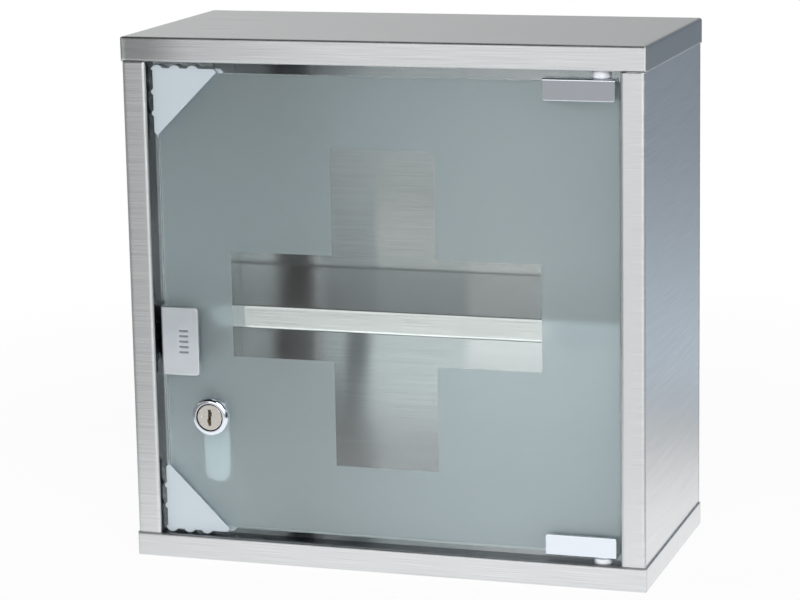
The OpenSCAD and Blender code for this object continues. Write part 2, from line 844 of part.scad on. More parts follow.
// Compression spring behind the plunger, as one sleeve
module latch_spring() color("#8f9397")
    translate([latch_x, 0, latch_z])
        difference() {
            bar_y(spring_r, y_plunger_back, y_bore_back);
            bar_y(spring_r - spring_t, y_plunger_back - over, y_bore_back + over);
        }

module latch_plunger() color("#e2e4e6")
    translate([latch_x, 0, latch_z])
        difference() {
            union() {
                bar_y(plunger_r, y_latch_tip, y_plunger_back);
                bar_y(collar_r, y_plunger_back - collar_t, y_plunger_back);
            }
            bar_y(magnet_r, y_latch_tip - over, y_latch_tip + magnet_t);
        }

module latch_magnet() color("#70757a")
    translate([latch_x, 0, latch_z]) bar_y(magnet_r, y_latch_tip, y_latch_tip + magnet_t);

// ---- assembly ------------------------------------------------------------------------------

top_panel();
bottom_panel();
left_side_panel();
right_side_panel();
back_panel();
shelf();
left_shelf_bracket();
right_shelf_bracket();
top_hinge_bush();
bottom_hinge_bush();
latch_housing();
latch_screws();
latch_spring();
latch_plunger();
latch_magnet();
door_glass();
top_hinge_clamp();
bottom_hinge_clamp();
top_hinge_pin();
bottom_hinge_pin();
top_hinge_pad();
bottom_hinge_pad();
hinge_grub_screws();
push_plate();
push_plate_liner();
top_corner_guard();
bottom_corner_guard();
lock_housing();
lock_gasket();
lock_nut();
lock_plug();
lock_wafers();
lock_cam();
cam_washer();
cam_screw();
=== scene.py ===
# %% [markdown]
# # A lockable medicine cabinet
# The object is a small wall cabinet: folded stainless steel sheet, a frosted glass door with a
# clear cross, chrome hinge clamps, a push plate and a cam lock. The solids already have the right
# shapes and places, so this lesson adds no shapes. It gives each solid the finish of the real part,
# and sets up the camera, the table and the studio that the metal reflects.

# %% Load the solids
import math

import bmesh
import bpy
from mathutils import Matrix, Vector


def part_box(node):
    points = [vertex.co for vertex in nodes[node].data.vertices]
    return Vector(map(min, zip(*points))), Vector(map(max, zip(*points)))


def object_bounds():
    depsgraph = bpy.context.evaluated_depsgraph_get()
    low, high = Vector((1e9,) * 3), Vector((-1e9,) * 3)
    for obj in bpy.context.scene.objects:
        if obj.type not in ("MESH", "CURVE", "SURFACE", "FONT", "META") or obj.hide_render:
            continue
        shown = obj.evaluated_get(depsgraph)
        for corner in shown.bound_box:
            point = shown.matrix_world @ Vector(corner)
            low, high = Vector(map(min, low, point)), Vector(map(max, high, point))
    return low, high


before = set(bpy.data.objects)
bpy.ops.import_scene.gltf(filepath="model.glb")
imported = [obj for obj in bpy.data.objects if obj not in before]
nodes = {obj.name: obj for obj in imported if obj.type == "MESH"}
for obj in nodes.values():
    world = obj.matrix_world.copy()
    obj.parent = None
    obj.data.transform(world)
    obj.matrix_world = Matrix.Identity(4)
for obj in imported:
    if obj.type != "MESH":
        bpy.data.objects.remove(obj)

MM = 0.001
cad_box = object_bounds()
scene = bpy.context.scene
print("solids", len(nodes), "box", [tuple(round(v, 4) for v in corner) for corner in cad_box])

# %% [markdown]
# ## Camera
# The cabinet is seen from its right and from above, with a long lens from about 1.6 m away, so its
# front stays nearly square. The camera is placed by its turn, tilt and lean instead of by a target,
# because those angles can be fitted to the corners one by one. The photograph's perspective was
# corrected, which a shifted lens would copy, but such a shift pushes the cabinet out of other
# views. So the camera is a plain one, the upright edges lean a little, and the lower left corner
# stands higher in the picture than in the photograph.

# %% Camera
CAMERA_AT = Vector((494.3, -1630.1, 329.6)) * MM
CAMERA_TURN, CAMERA_TILT, CAMERA_LEAN = (math.radians(a) for a in (17.959, 11.619, -1.051))
LENS = 130.9
NEAR, FAR = 0.05, 50

camera = bpy.data.objects.new("camera", bpy.data.cameras.new("camera"))
scene.collection.objects.link(camera)
scene.camera = camera
camera.data.lens = LENS
camera.data.clip_start, camera.data.clip_end = NEAR, FAR
camera.matrix_world = (
    Matrix.Translation(CAMERA_AT)
    @ Matrix.Rotation(CAMERA_TURN, 4, "Z")
    @ Matrix.Rotation(math.pi / 2 - CAMERA_TILT, 4, "X")
    @ Matrix.Rotation(CAMERA_LEAN, 4, "Z")
)
scene.view_settings.view_transform = "Standard"
print("camera distance", round((CAMERA_AT - (cad_box[0] + cad_box[1]) / 2).length, 3), "m")

# %% [markdown]
# ## Helpers for materials
# Colours are written as the hex values that a paint program shows, and a shader wants them linear,
# so one function converts them. Another adds any node with its settings and inputs, so that a
# material reads as a list of what it is made of. Most masks need three kinds of node: a sum, a mix,
# and a range whose soft edge turns one value into another. Their long names and the settings that
# come back often get a short name here.

# %% Material helpers


def linear(colour):
    """A hex colour such as #c0ffee as linear red, green, blue and alpha."""
    parts = [int(colour[i : i + 2], 16) / 255 for i in (1, 3, 5)]
    return [p / 12.92 if p <= 0.04045 else ((p + 0.055) / 1.055) ** 2.4 for p in parts] + [1.0]


def add(tree, kind, inputs=(), **settings):
    """Adds a node with its settings. Inputs go by name, or in the node's own order. Each takes a
    plain value or an output, and a whole node stands for its first output in use."""
    node = tree.nodes.new(kind)
    for name, value in settings.items():
        setattr(node, name, value)
    for name, value in inputs.items() if isinstance(inputs, dict) else enumerate(inputs):
        if isinstance(value, bpy.types.Node):
            value = next(output for output in value.outputs if output.enabled)
        if isinstance(value, bpy.types.NodeSocket):
            tree.links.new(value, node.inputs[name])
        else:
            node.inputs[name].default_value = value
    return node


SUM, MIX, RANGE = "ShaderNodeMath", "ShaderNodeMix", "ShaderNodeMapRange"
PLACES, SPLIT = "ShaderNodeTexCoord", "ShaderNodeSeparateXYZ"
PLUS, MINUS, TIMES, OVER, SIZE, MOST, ABOVE, BELOW = (
    {"operation": name}
    for name in (
        "ADD", "SUBTRACT", "MULTIPLY", "DIVIDE", "ABSOLUTE", "MAXIMUM", "GREATER_THAN", "LESS_THAN"
    )
)
SOFT = {"interpolation_type": "SMOOTHSTEP"}
COLOURS = {"data_type": "RGBA"}
WHITE = linear("#ffffff")
print("white is", WHITE)

# %% [markdown]
# ## Studio
# The photograph has a pure white ground. Here the world is white to the camera and straight through
# the glass, while steel sees a painted studio. Brushed metal has no colour of its own to show, so
# it is the broad tones round it that make its faces differ. A picture of a real studio would give
# them too, but zones painted by direction need no file and can be changed one at a time. A range is
# written as what it follows, where its edge starts and ends, and its value before and after.
#
# First comes the belt round the cabinet at eye level: a bright wall in front, a dim corner at the
# front left, a wall behind that darkens to the right, and a wall at the right.

# %% Walls
world = bpy.data.worlds.new("studio")
scene.world = world
world.use_nodes = True
sky = world.node_tree
sky.nodes.clear()
east, north, up = add(sky, SPLIT, (add(sky, PLACES).outputs["Generated"],)).outputs

at_left = add(sky, RANGE, (east, -0.40, -0.345, 1.0, 0.0), **SOFT)
wall_in_front = add(sky, RANGE, (up, -0.07, 0.03, 0.42, 1.75), **SOFT)
in_front = add(sky, MIX, {"Factor": at_left, "A": wall_in_front, "B": 0.24})
behind = add(sky, RANGE, (east, -0.45, -0.05, 0.86, 0.3), **SOFT)
faces_back = add(sky, RANGE, (north, -0.35, 0.35, 0.0, 1.0), **SOFT)
right_wall = add(sky, RANGE, (north, -0.45, 0.35, 0.95, 0.08), **SOFT)
to_the_right = add(sky, RANGE, (east, 0.45, 0.75, 0.0, 1.0), **SOFT)
belt = add(sky, MIX, {"Factor": faces_back, "A": in_front, "B": behind})
belt = add(sky, MIX, {"Factor": to_the_right, "A": belt, "B": right_wall})
left_end = add(sky, RANGE, (east, -0.88, -0.80, 0.85, 0.0), **SOFT)
towards_rear = add(sky, RANGE, (north, 0.08, 0.16, 0.0, 1.0), **SOFT)
dark_edge = add(sky, SUM, (left_end, towards_rear), **TIMES)
belt = add(sky, SUM, (belt, add(sky, SUM, (1.0, dark_edge), **MINUS)), **TIMES)
print("walls painted with", len(sky.nodes), "nodes")

# %% [markdown]
# ### Ceiling, table and gap
# Chrome shows what is over it and beside it. Its black reflections come from a black ceiling in
# front, with a bright spot overhead and a bright rear half, and from a black gap at the right. The
# table ends lower at the left, which leaves more of the dim corner to the front bands.

# %% Ceiling, table and gap
ceiling = add(sky, RANGE, (up, 0.38, 0.5, 0.9, 0.0), **SOFT)
overhead = add(sky, RANGE, (up, 0.965, 0.985, 0.0, 1.0), **SOFT)
ceiling = add(sky, MIX, {"Factor": overhead, "A": ceiling, "B": 0.8})
rear_half = add(sky, RANGE, (north, 0.15, 0.4, 0.0, 1.0), **SOFT)
ceiling = add(sky, MIX, {"Factor": rear_half, "A": ceiling, "B": 0.62})
over_belt = add(sky, RANGE, (up, 0.26, 0.38, 0.0, 1.0), **SOFT)
room = add(sky, MIX, {"Factor": over_belt, "A": belt, "B": ceiling})

ends_lower = add(sky, SUM, (at_left, 0.13), **TIMES)
table_up = add(sky, SUM, (up, ends_lower), **PLUS)
table = add(sky, RANGE, (table_up, -0.26, -0.11, 1.0, 0.0), **SOFT)
studio = add(sky, SUM, (room, table), **MOST)

gap_from = add(sky, RANGE, (up, -0.25, -0.22, 0.0, 0.97), **SOFT)
gap_to = add(sky, RANGE, (up, 0.18, 0.24, 1.0, 0.0), **SOFT)
gap_ahead = add(sky, RANGE, (north, -0.15, -0.05, 1.0, 0.0), **SOFT)
gap = add(sky, SUM, (add(sky, SUM, (gap_from, gap_to), **TIMES), gap_ahead), **TIMES)
gap = add(sky, SUM, (gap, to_the_right), **TIMES)
studio = add(sky, MIX, {"Factor": gap, "A": studio, "B": 0.0})
print("studio painted with", len(sky.nodes), "nodes")

# %% [markdown]
# ### Light through the door
# The inside of the cabinet is lit through its door. Light that leaves through the glass after a
# bounce inside gets levels of its own, brighter above and dimmer at the left and right. This isn't
# how a real studio works. It is a choice that brings the inside nearer to the photograph than the
# tones that suit the outside do.

# %% Light through the door
rays = add(sky, "ShaderNodeLightPath").outputs
bounced = add(sky, SUM, (rays["Glossy Depth"], rays["Diffuse Depth"]), **PLUS)
after_bounce = add(sky, SUM, (bounced, 0.5), **ABOVE)
inside_out = add(sky, SUM, (rays["Is Transmission Ray"], after_bounce), **TIMES)
straight = add(sky, SUM, (bounced, 0.5), **BELOW)
through = add(sky, SUM, (rays["Is Transmission Ray"], straight), **TIMES)
seen = add(sky, SUM, (rays["Is Camera Ray"], through), **MOST)
on_frost = add(sky, SUM, (rays["Diffuse Depth"], 0.5), **ABOVE)

from_above = add(sky, RANGE, (up, -0.25, 0.25, 0.5, 1.45), **SOFT)
from_right = add(sky, RANGE, (east, -0.08, 0.18, 1.0, 0.08), **SOFT)
from_left = add(sky, RANGE, (east, -0.65, -0.42, 0.15, 1.0), **SOFT)
sideways = add(sky, SUM, (from_right, from_left), **TIMES)
inside = add(sky, SUM, (from_above, sideways), **TIMES)
on_frost_level = add(sky, SUM, (inside, 0.8), **TIMES)
inside_level = add(sky, MIX, {"Factor": on_frost, "A": inside, "B": on_frost_level})
level = add(sky, MIX, {"Factor": inside_out, "A": studio, "B": inside_level})
level = add(sky, MIX, {"Factor": seen, "A": level, "B": 1.0})
print("levels set with", len(sky.nodes), "nodes")

# %% [markdown]
# ### Daylight
# The right side of the cabinet is bluer in the photograph than its front. A pale blue from the back
# right gives that, but only to light that falls on something: what the camera sees stays white.

# %% Daylight
from_east = add(sky, RANGE, (east, 0.0, 0.2, 0.0, 1.0), **SOFT)
window = add(sky, SUM, (from_east, faces_back), **TIMES)
window = add(sky, SUM, (window, add(sky, SUM, (1.0, seen), **MINUS)), **TIMES)
over_table = add(sky, RANGE, (up, -0.5, -0.15, 0.3, 1.0), **SOFT)
blueness = add(sky, SUM, (window, over_table), **TIMES)
daylight = add(sky, MIX, {"Factor": blueness, "A": WHITE, "B": linear("#e1f0ff")}, **COLOURS)
ground = add(sky, "ShaderNodeBackground", {"Color": daylight, "Strength": level})
add(sky, "ShaderNodeOutputWorld", {"Surface": ground})
print("world", len(sky.nodes), "nodes")

# %% [markdown]
# ## Floor
# The cabinet stands on a pale table top. A plane would do, but a disc has no corners to show in a
# reflection, and bmesh makes one in a single step. It lies a hair under the cabinet, so that the
# two faces don't flicker.

# %% Floor
FLOOR_RADIUS, FLOOR_SIDES, FLOOR_GAP = 1.3, 96, 0.3 * MM
floor_mesh = bmesh.new()
bmesh.ops.create_circle(floor_mesh, cap_ends=True, radius=FLOOR_RADIUS, segments=FLOOR_SIDES)
floor_at = (0, -0.07, cad_box[0].z - FLOOR_GAP)
bmesh.ops.translate(floor_mesh, verts=floor_mesh.verts, vec=floor_at)
floor = bpy.data.objects.new("floor", bpy.data.meshes.new("floor"))
floor_mesh.to_mesh(floor.data)
floor_mesh.free()
scene.collection.objects.link(floor)
print("floor", len(floor.data.vertices), "corners at", round(floor_at[2] / MM, 1), "mm")

# %% [markdown]
# ### Table top
# Where the camera or a reflection looks at it, the table glows nearly white by itself and fades to
# pure white further out; a small share of plain matt paint keeps the contact shadow. Light Path
# says who is looking, so each gets its own level. Reflections see a painted pool of light at the
# front right, a glow a little brighter than white. Light that goes through the glass sees that pool
# glow brighter still, up to three times white, because the inside came out too dark otherwise. From
# below the table is clear, so that the underside can be looked at too, and far out it is clear to
# reflections, which then show the studio.

# %% Table top


def blank(name):
    """An empty material and its node tree."""
    material = bpy.data.materials.new(name)
    material.use_nodes = True
    material.node_tree.nodes.clear()
    return material, material.node_tree


# Matt white-painted board: it spreads light evenly and has no gloss. Here it mostly glows, with a
# painted pool of light at the front right.
table_top, tree = blank("table_top")
place = add(tree, PLACES).outputs["Object"]
reach = add(tree, "ShaderNodeVectorMath", (place, (0, -0.07, -0.15)), operation="DISTANCE")
pool = add(tree, "ShaderNodeVectorMath", (place, (0.16, -0.33, -0.15)), operation="DISTANCE")
rays = add(tree, "ShaderNodeLightPath").outputs
# Painted pool of light near the front right: glow strengths for reflections, for light through the
# glass and for light scattered on the frost.
bounce = add(tree, RANGE, (pool, 0.30, 0.75, 1.05, 0.5), **SOFT)
passed = add(tree, RANGE, (pool, 0.28, 0.60, 2.5, 0.35), **SOFT)
lit_frost = add(tree, RANGE, (pool, 0.28, 0.60, 3.0, 0.4), **SOFT)
off_frost = add(tree, SUM, (rays["Diffuse Depth"], 0.5), **ABOVE)
passed = add(tree, MIX, {"Factor": off_frost, "A": passed, "B": lit_frost})
glow_level = add(tree, MIX, {"Factor": rays["Is Transmission Ray"], "A": bounce, "B": passed})
glow_level = add(tree, MIX, {"Factor": rays["Is Camera Ray"], "A": glow_level, "B": 1.0})
glow = add(tree, "ShaderNodeEmission", {"Color": WHITE, "Strength": glow_level})
matt = add(tree, "ShaderNodeBsdfDiffuse", {"Color": linear("#f2f2f2")})

looked_at = add(tree, SUM, (rays["Is Glossy Ray"], rays["Is Transmission Ray"]), **MOST)
looked_at = add(tree, SUM, (looked_at, rays["Is Diffuse Ray"]), **MOST)
looked_at = add(tree, SUM, (rays["Is Camera Ray"], looked_at), **MOST)
fade = add(tree, RANGE, (reach, 0.35, 0.9, 0.94, 1.0), **SOFT)
plain = add(tree, SUM, (looked_at, fade), **TIMES)
top_side = add(tree, "ShaderNodeMixShader", (plain, matt, glow))

far_off = add(tree, RANGE, (reach, 0.3, 0.55, 0.0, 1.0), **SOFT)
far_off = add(tree, SUM, (rays["Is Glossy Ray"], far_off), **TIMES)
below = add(tree, "ShaderNodeNewGeometry").outputs["Backfacing"]
hidden = add(tree, SUM, (below, far_off), **MOST)
clear = add(tree, "ShaderNodeBsdfTransparent")
two_sided = add(tree, "ShaderNodeMixShader", (hidden, top_side, clear))
add(tree, "ShaderNodeOutputMaterial", {"Surface": two_sided})
floor.data.materials.append(table_top)
print("table top", len(tree.nodes), "nodes")

# %% [markdown]
# ## Lamps
# Two wide soft boxes: the key stands at the front right and above, as the bright right half of the
# front bands shows, and a weaker one hangs at the left. They are large, so that steel shows broad
# tones and no hard spots. The weak one is hidden from reflections, which at the left come from the
# painted studio alone.

# %% Lamps


def soft_box(name, at, aim, size, watts):
    """A square area lamp at a place, turned towards a point."""
    lamp = bpy.data.objects.new(name, bpy.data.lights.new(name, "AREA"))
    lamp.data.size = size
    lamp.data.energy = watts
    turn = (Vector(aim) - Vector(at)).to_track_quat("-Z", "Y")
    lamp.matrix_world = Matrix.Translation(at) @ turn.to_matrix().to_4x4()
    scene.collection.objects.link(lamp)
    return lamp


CABINET_MIDDLE = (0, -0.07, 0)
soft_box("key", (0.9, -1.9, 1.3), CABINET_MIDDLE, 1.4, 34)
fill = soft_box("fill", (-1.5, -1.0, 1.2), CABINET_MIDDLE, 1.2, 9)
fill.visible_glossy = False

# %% [markdown]
# ## Brushed stainless steel
# The sheet is stainless steel with a brushed finish: a belt has drawn fine scratches all in one
# direction. They show as faint lines a few centimetres long. A picture of brushed steel could be
# laid on, but a noise that is stretched along the grain never repeats and needs no file. The real
# lines are about 0.05 mm wide; they are drawn 0.3 mm wide, because finer ones fall between the
# pixels. The grain has to turn with the sheet at its folds, so the place on the sheet is worked out
# from the object's own coordinates: a side panel's grain wraps round from its front to its flank,
# and a tray's runs along its front but up its side flanges.

# %% Grain
STREAK_WIDTH = 0.3 * MM
STREAK_LENGTH = 45 * MM


def along_grain(tree, folded):
    """A place on the sheet counted in streaks, with the grain along X."""
    coordinates = add(tree, PLACES).outputs
    x, y, z = add(tree, SPLIT, (coordinates["Object"],)).outputs
    if folded == "wrap":
        along, across = add(tree, SUM, (x, y), **PLUS), z
    else:
        along, across = x, add(tree, SUM, (y, z), **PLUS)
    if folded == "tray":
        facing_x = add(tree, SPLIT, (coordinates["Normal"],)).outputs["X"]
        on_side = add(tree, SUM, (add(tree, SUM, (facing_x,), **SIZE), 0.6), **ABOVE)
        along = add(tree, MIX, {"Factor": on_side, "A": along, "B": z})
        across = add(tree, MIX, {"Factor": on_side, "A": across, "B": y})
    in_streaks = (
        add(tree, SUM, (along, STREAK_LENGTH), **OVER),
        add(tree, SUM, (across, STREAK_WIDTH), **OVER),
    )
    return add(tree, "ShaderNodeCombineXYZ", in_streaks)


print("grain", STREAK_LENGTH / MM, "by", round(STREAK_WIDTH / MM, 2), "mm")

# %% [markdown]
# ### Shades that the studio doesn't give
# Four places are darker in the photograph than this studio makes them: the lips folded back round
# the door, the side flanges of the top tray, the left end of its front band, and the top of the
# shelf. The studio's zones go by direction, so they can't darken a place without its neighbours
# that face the same way. So the tone is put into the steel's colour by place. It stays put from
# every side, but it is a match to one photograph and not a finish of the real steel. Places are in
# metres, X and Z from the cabinet's middle and Y from the wall.

# %% Painted shades


def on_the_lip(tree):
    """1 on the lips that are folded back round the door, where their shade is painted, and 0 on the
    rest of the sheet.
    """
    x, y, z = add(tree, SPLIT, (add(tree, PLACES).outputs["Object"],)).outputs
    off_x = add(tree, SUM, (x,), **SIZE)
    off_z = add(tree, SUM, (z,), **SIZE)
    within_x = add(tree, RANGE, (off_x, 0.1366, 0.1369, 1.0, 0.0), **SOFT)
    within_z = add(tree, RANGE, (off_z, 0.1371, 0.1374, 1.0, 0.0), **SOFT)
    behind_fold = add(tree, RANGE, (y, -0.1392, -0.1384, 0.0, 1.0), **SOFT)
    before_inside = add(tree, RANGE, (y, -0.1275, -0.1270, 1.0, 0.0), **SOFT)
    deep = add(tree, SUM, (behind_fold, before_inside), **TIMES)
    within = add(tree, SUM, (within_x, within_z), **TIMES)
    return add(tree, SUM, (deep, within), **TIMES)


def darker_on_shelf(tree):
    """The painted shade on the shelf: how much darker its top is."""
    coordinates = add(tree, PLACES).outputs
    height = add(tree, SPLIT, (coordinates["Object"],)).outputs["Z"]
    facing_up = add(tree, SPLIT, (coordinates["Normal"],)).outputs["Z"]
    off_level = add(tree, SUM, (add(tree, SUM, (height, 3.2 * MM), **PLUS),), **SIZE)
    on_level = add(tree, RANGE, (off_level, 0.5 * MM, 1 * MM, 0.36, 0.0), **SOFT)
    return add(tree, SUM, (on_level, add(tree, SUM, (facing_up, 0.7), **ABOVE)), **TIMES)


def darker_on_tray(tree):
    """The painted dark reflection on the top tray: how much darker its side flanges and the left of
    its front band are.
    """
    x, y, z = add(tree, SPLIT, (add(tree, PLACES).outputs["Object"],)).outputs
    on_top = add(tree, RANGE, (z, 0.1355, 0.1358, 0.0, 1.0), **SOFT)
    off_x = add(tree, SUM, (x,), **SIZE)
    flange = add(tree, RANGE, (off_x, 0.1490, 0.1499, 0.0, 0.32), **SOFT)
    front = add(tree, RANGE, (y, -0.1396, -0.1385, 1.0, 0.0), **SOFT)
    left = add(tree, RANGE, (x, -0.138, -0.106, 0.38, 0.0), **SOFT)
    left = add(tree, SUM, (left, front), **TIMES)
    end = add(tree, RANGE, (x, -0.1485, -0.146, 0.3, 1.0), **SOFT)
    left = add(tree, SUM, (left, end), **TIMES)
    return add(tree, SUM, (on_top, add(tree, SUM, (flange, left), **MOST)), **TIMES)


print("shades for the lips, the shelf and the top tray")

# %% [markdown]
# ### The steel itself
# Scratches spread reflections across themselves and hardly along themselves. The shader's
# anisotropy does that, with a tangent that says which way, so a lamp becomes an upright streak.
# Real folds are round where the solid's mesh shows them with few faces; a Bevel node smooths the
# light over them and leaves the shape alone. Trays, sides and flat sheets differ in how their grain
# runs, so they are three materials from one function.

# %% Brushed steel
# The second colour is a painted shade for the lips folded back round the door.
STEEL, PAINTED_LIP_SHADE = "#d8dadb", "#6c7074"
DARK_STREAK, LIGHT_STREAK = 0.92, 1.05
UPRIGHT = (0, 0.02, 1)
FOLD_SMOOTHING = 1.4 * MM


def brushed_steel(name, folded, roughness, anisotropy, darker=None):
    """Brushed stainless steel. folded says how the sheet's grain runs over its folds."""
    material, tree = blank(name)
    grain_at = along_grain(tree, folded)
    flat = {"noise_dimensions": "2D"}
    grain = add(
        tree,
        "ShaderNodeTexNoise",
        {"Vector": grain_at, "Scale": 1.0, "Detail": 1.0, "Roughness": 0.5},
        **flat,
    )
    broad_at = add(
        tree,
        "ShaderNodeMapping",
        {"Vector": grain_at, "Scale": (0.5, 0.09, 1.0), "Location": (3.7, 1.9, 0.0)},
    )
    broad_noise = {"Vector": broad_at, "Scale": 1.0, "Detail": 2.0}
    broad = add(tree, "ShaderNodeTexNoise", broad_noise, **flat)
    streak = add(tree, RANGE, (grain, 0.25, 0.75, 0.0, 1.0), **SOFT)
    dark, light = (
        [min(c * share, 1) for c in linear(STEEL)[:3]] + [1]
        for share in (DARK_STREAK, LIGHT_STREAK)
    )
    tone = add(tree, MIX, {"Factor": streak, "A": dark, "B": light}, **COLOURS)
    # Painted shade by place, where a mask of darker places is given.
    if darker:
        black = linear("#000000")
        tone = add(tree, MIX, {"Factor": darker(tree), "A": tone, "B": black}, **COLOURS)
    # Painted shade: the lips folded back round the door take a much darker colour.
    lip = on_the_lip(tree)
    tone = add(tree, MIX, {"Factor": lip, "A": tone, "B": linear(PAINTED_LIP_SHADE)}, **COLOURS)

    fine = add(tree, RANGE, (grain, 0.2, 0.8, roughness - 0.01, roughness + 0.01), **SOFT)
    patchy = add(tree, RANGE, (broad, 0.3, 0.7, -0.01, 0.01), **SOFT)
    smooth = add(tree, "ShaderNodeBevel", {"Radius": FOLD_SMOOTHING})
    scratches = add(
        tree,
        "ShaderNodeBump",
        {"Height": grain, "Normal": smooth, "Strength": 0.1, "Distance": 0.001 * MM},
    )
    steel = add(
        tree,
        "ShaderNodeBsdfPrincipled",
        {
            "Base Color": tone,
            "Metallic": 1.0,
            "Roughness": add(tree, SUM, (fine, patchy), **PLUS),
            "Anisotropic": anisotropy,
            "Normal": scratches,
            "Tangent": add(tree, "ShaderNodeCombineXYZ", UPRIGHT),
        },
    )
    add(tree, "ShaderNodeOutputMaterial", {"Surface": steel})
    return material


# Stainless steel, brushed: a soft upright smear of the studio under fine lines. The flat sheets lie
# behind the glass and look a little glossier.
tray_steel = brushed_steel("brushed_stainless_tray", "tray", 0.24, 0.95, darker_on_tray)
side_steel = brushed_steel("brushed_stainless_side", "wrap", 0.24, 0.95)
flat_steel = brushed_steel("brushed_stainless_flat", "flat", 0.2, 1.0, darker_on_shelf)
print("steels", [m.name for m in (tray_steel, side_steel, flat_steel)])

# %% [markdown]
# ## Plated and plain metals
# The hinge clamps and the lock's bezel are bright chrome plate, the push plate is satin nickel, the
# plug is a warmer nickel, and what sits behind the glass is zinc-plated steel. All are metals with
# no grain, so one function makes them: a metallic shader whose gloss is a little uneven from
# handling. Its Bevel node smooths the light over the edges, as polishing rounds them. The
# photograph shows only how they look, so what they are made of is the usual choice for such parts.

# %% Plated metals


def plated_metal(name, colour, roughness, uneven, spot=6 * MM, edge=0.25 * MM):
    """A plated metal whose gloss varies a little over spots of the given size."""
    material, tree = blank(name)
    place = add(tree, PLACES).outputs["Object"]
    smudges = add(tree, "ShaderNodeTexNoise", {"Vector": place, "Scale": 1 / spot, "Detail": 4.0})
    least, most = roughness - uneven, roughness + uneven
    metal = add(
        tree,
        "ShaderNodeBsdfPrincipled",
        {
            "Base Color": linear(colour),
            "Metallic": 1.0,
            "Roughness": add(tree, RANGE, (smudges, 0.3, 0.7, least, most), **SOFT),
            "Normal": add(tree, "ShaderNodeBevel", {"Radius": edge}),
        },
    )
    add(tree, "ShaderNodeOutputMaterial", {"Surface": metal})
    return material


CHROME, SATIN, WARM_NICKEL = "#e8eef6", "#e2e8ee", "#e0dcd5"
# Bright chrome plate, polished before plating: a cold, nearly sharp mirror.
chrome = plated_metal("chrome_plate", CHROME, 0.07, 0.02, edge=0.5 * MM)
# Nickel over blasted steel: an even silver sheen that shows no shapes.
satin_nickel = plated_metal("satin_nickel_plate", SATIN, 0.34, 0.03, edge=1.2 * MM)
# Nickel on a turned brass plug: warmer, and more worn where keys touch it.
plug_nickel = plated_metal("plug_nickel", WARM_NICKEL, 0.26, 0.05, 2 * MM)
# Zinc plate on small stamped parts: greyish, dull and blotchy.
zinc = plated_metal("zinc_plate", "#dfe3e4", 0.38, 0.07, 4 * MM)
# Rolled brass sheet, cut to wafers: yellowish with a dull shine.
brass = plated_metal("brass", "#a58f5c", 0.3, 0.05, 2 * MM)
# Sintered magnet, ground flat: dark grey with a low gloss.
magnet = plated_metal("sintered_magnet", "#8d9094", 0.45, 0.08, 2 * MM)
print("metals", [m.name for m in (chrome, satin_nickel, plug_nickel, zinc, brass, magnet)])

# %% [markdown]
# ### Push plate
# Five grip grooves are pressed into the push plate. They are real in the solid, but too shallow to
# show on so soft a sheen, so their floors get a painted shade, a darker colour. The plate is also a
# little darker towards its top in the photograph, a painted shade as on the steel above.

# %% Push plate
GROOVES_AT = Vector((-119.2, 0, -23.2)) * MM
GROOVES_HALF = (3 * MM, 7.2 * MM)

tree = satin_nickel.node_tree
x, y, z = add(tree, SPLIT, (add(tree, PLACES).outputs["Object"],)).outputs
within = []
for along, middle, half in zip((x, z), (GROOVES_AT.x, GROOVES_AT.z), GROOVES_HALF):
    off = add(tree, SUM, (add(tree, SUM, (along, middle), **MINUS),), **SIZE)
    within.append(add(tree, SUM, (off, half), **BELOW))
in_patch = add(tree, SUM, within, **TIMES)
sunk = add(tree, RANGE, (y, -0.13626, -0.13614, 0.0, 1.0), **SOFT)
shade = add(tree, SUM, (add(tree, SUM, (sunk, in_patch), **TIMES), 0.85), **TIMES)
to_top = add(tree, RANGE, (z, -0.036, -0.004, 0.0, 0.2), **SOFT)
shade = add(tree, SUM, (shade, to_top), **MOST)
plate = {"Factor": shade, "A": linear(SATIN), "B": linear("#8b929a")}
shaded = add(tree, MIX, plate, **COLOURS)
tree.links.new(shaded.outputs["Result"], tree.nodes["Principled BSDF"].inputs["Base Color"])
print("grooves about", [round(v / MM, 1) for v in GROOVES_AT], "mm")

# %% [markdown]
# ### Ring round the plug
# The plug turns in its housing, and the thin gap between them shows as a dark ring of shade. The
# gap of the solids is finer than a pixel, so that shade is painted into both metals as a ring at
# the gap's radius.

# %% Ring round the plug
LOCK_AXIS = Vector((-103.7, 0, -66)) * MM
PLUG_EDGE = 7.75 * MM
for metal, colour in ((plug_nickel, WARM_NICKEL), (chrome, CHROME)):
    tree = metal.node_tree
    place = add(tree, PLACES).outputs["Object"]
    flat = add(tree, "ShaderNodeVectorMath", (place, (1, 0, 1)), operation="MULTIPLY")
    radius = add(tree, "ShaderNodeVectorMath", (flat, LOCK_AXIS), operation="DISTANCE")
    off_edge = add(tree, SUM, (add(tree, SUM, (radius, PLUG_EDGE), **MINUS),), **SIZE)
    ring = add(tree, RANGE, (off_edge, 0.2 * MM, 0.4 * MM, 1.0, 0.0), **SOFT)
    # Painted shade of the gap between plug and housing.
    painted_gap_shade = {"Factor": ring, "A": linear(colour), "B": linear("#3a3a3c")}
    ringed = add(tree, MIX, painted_gap_shade, **COLOURS)
    tree.links.new(ringed.outputs["Result"], tree.nodes["Principled BSDF"].inputs["Base Color"])
print("ring of radius", PLUG_EDGE / MM, "mm")

# %% [markdown]
# ## Door glass
# The door is 4 mm float glass. Its rear face is etched, except for a cross that was masked off and
# stays clear; the front face and the bevelled edges are polished. The cross could be a piece of its
# own, but then the pane would have seams. So one glass shader covers the whole pane, and a mask
# says where it is rough: on the rear face, outside the cross.

# %% Cross mask
glass_low, glass_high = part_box("door_glass")
CROSS_AT = (-0.5 * MM, -1.1 * MM)
CROSS_REACH, CROSS_HALF_ARM = 90.2 * MM, 30.1 * MM
MASK_BLUR = 0.15 * MM
REAR_DEPTH = 0.4 * MM

